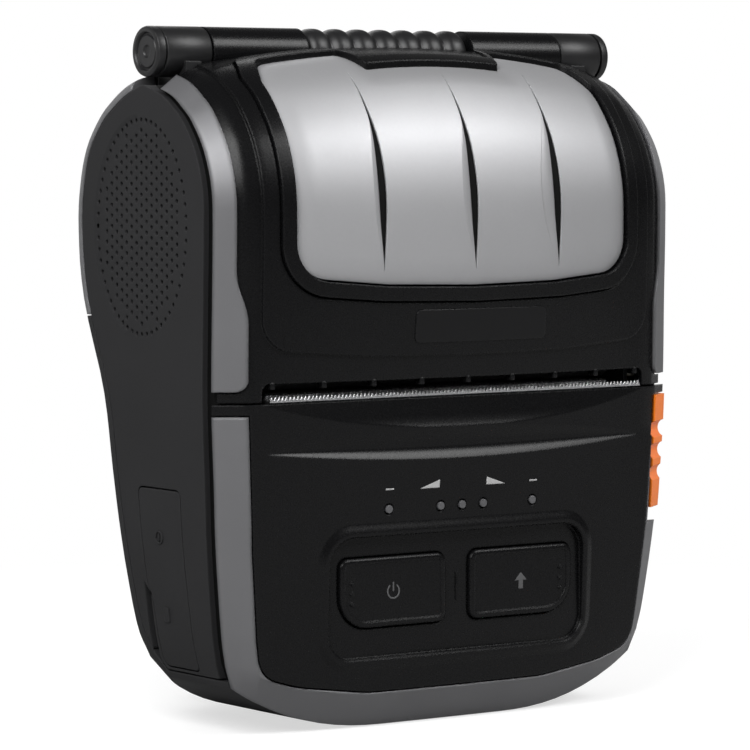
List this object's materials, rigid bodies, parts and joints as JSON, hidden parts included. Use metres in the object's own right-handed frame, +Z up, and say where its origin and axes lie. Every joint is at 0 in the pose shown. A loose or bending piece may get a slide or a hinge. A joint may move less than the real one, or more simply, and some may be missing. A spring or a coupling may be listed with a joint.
{
  "type": "portable label printer",
  "caption": "Handheld thermal label printer: upright rounded body, hinged clear-window cover over a roll bay, tear bar, keypad, side release lever, port flap and clip-in battery.",
  "frame": {"origin": "middle of the bounding box in X and Y, at the height of the base's flat underside", "axes": "+Z up as the printer stands on its base, front with the paper exit and keypad towards -Y, +X to the right of a person who faces the front"},
  "size_m": [0.104, 0.0588, 0.128],
  "materials": {
    "front_black": "satin",
    "side_black": "fine matte grain",
    "frame_grey": "painted, satin",
    "window_silver": "tinted window with a silver sheen",
    "lever_orange": "satin",
    "steel": "bright",
    "rubber_black": "matte",
    "inner_black": "matte",
    "gear_white": "satin",
    "board_green": "satin",
    "lens_grey": "clear",
    "gold": "bright"
  },
  "bodies": {
    "housing": {"rear_casing": "side_black", "rear_trim_left": "frame_grey", "rear_trim_right": "frame_grey", "side_panel_left": "side_black", "side_panel_right": "side_black", "lower_bezel": "frame_grey", "front_panel": "front_black", "led_light_guide": "lens_grey", "main_board": "board_green", "tear_bar": "steel", "hinge_bracket_left": "inner_black", "hinge_bracket_right": "inner_black", "hinge_cap_left": "inner_black", "hinge_cap_right": "inner_black", "hinge_pin": "steel", "hinge_centre_barrel": "inner_black", "roll_bay": "inner_black", "inner_frame": "inner_black", "drive_motor": "steel", "print_head": "steel", "head_bracket": "inner_black", "lever_guide": "inner_black", "port_housing": "inner_black", "battery_contacts": "gold"},
    "cover": {"cover_shell": "front_black", "cover_frame_left": "frame_grey", "cover_frame_right": "frame_grey", "window_panel": "window_silver", "window_rim": "front_black", "platen_bracket": "inner_black", "platen_bush_left": "gear_white", "platen_bush_right": "gear_white"},
    "platen": {"platen_roller": "rubber_black", "platen_shaft": "steel", "platen_gear": "gear_white"},
    "idler": {"idler_gear": "gear_white"},
    "pinion": {"motor_pinion": "gear_white"},
    "lever": {"release_lever": "lever_orange"},
    "power_key": {"power_button": "front_black"},
    "feed_key": {"feed_button": "front_black"},
    "flap": {"port_flap": "side_black"},
    "battery": {"battery_pack": "side_black"},
    "catch": {"battery_catch": "lever_orange"}
  },
  "joints": [
    {"name": "cover_hinge", "type": "hinge", "parent": "housing", "child": "cover", "pos_m": [0, 0.00141, 0.12335], "axis": [-1, 0, 0], "range_deg": [0, 95]},
    {"name": "platen_spin", "type": "hinge", "parent": "cover", "child": "platen", "pos_m": [0, -0.0146, 0.0672], "axis": [1, 0, 0], "continuous": true},
    {"name": "idler_spin", "type": "hinge", "parent": "housing", "child": "idler", "pos_m": [0.0451, -0.00363, 0.06209], "axis": [1, 0, 0], "continuous": true},
    {"name": "pinion_spin", "type": "hinge", "parent": "housing", "child": "pinion", "pos_m": [0.0451, -0.00363, 0.05159], "axis": [1, 0, 0], "continuous": true},
    {"name": "lever_slide", "type": "slide", "parent": "housing", "child": "lever", "axis": [0, 0, -1], "range_m": [0, 0.0025], "stiffness_N_per_m": 600, "springref_m": -0.0005},
    {"name": "power_press", "type": "slide", "parent": "housing", "child": "power_key", "axis": [0, 1, 0], "range_m": [0, 0.0007], "stiffness_N_per_m": 900},
    {"name": "feed_press", "type": "slide", "parent": "housing", "child": "feed_key", "axis": [0, 1, 0], "range_m": [0, 0.0007], "stiffness_N_per_m": 900},
    {"name": "flap_hinge", "type": "hinge", "parent": "housing", "child": "flap", "pos_m": [-0.0497, -0.0083, 0.0276], "axis": [-0.1034, 0, 0.9946], "range_deg": [0, 110]},
    {"name": "battery_slide", "type": "slide", "parent": "housing", "child": "battery", "axis": [0, 1, 0], "range_m": [0, 0.025]},
    {"name": "catch_slide", "type": "slide", "parent": "housing", "child": "catch", "axis": [0, 0.1736, 0.9848], "range_m": [0, 0.002], "stiffness_N_per_m": 300}
  ],
  "couplings": [
    {"joint": "idler_spin", "follows": "platen_spin", "ratio": -0.875},
    {"joint": "pinion_spin", "follows": "platen_spin", "ratio": 1.4}
  ]
}
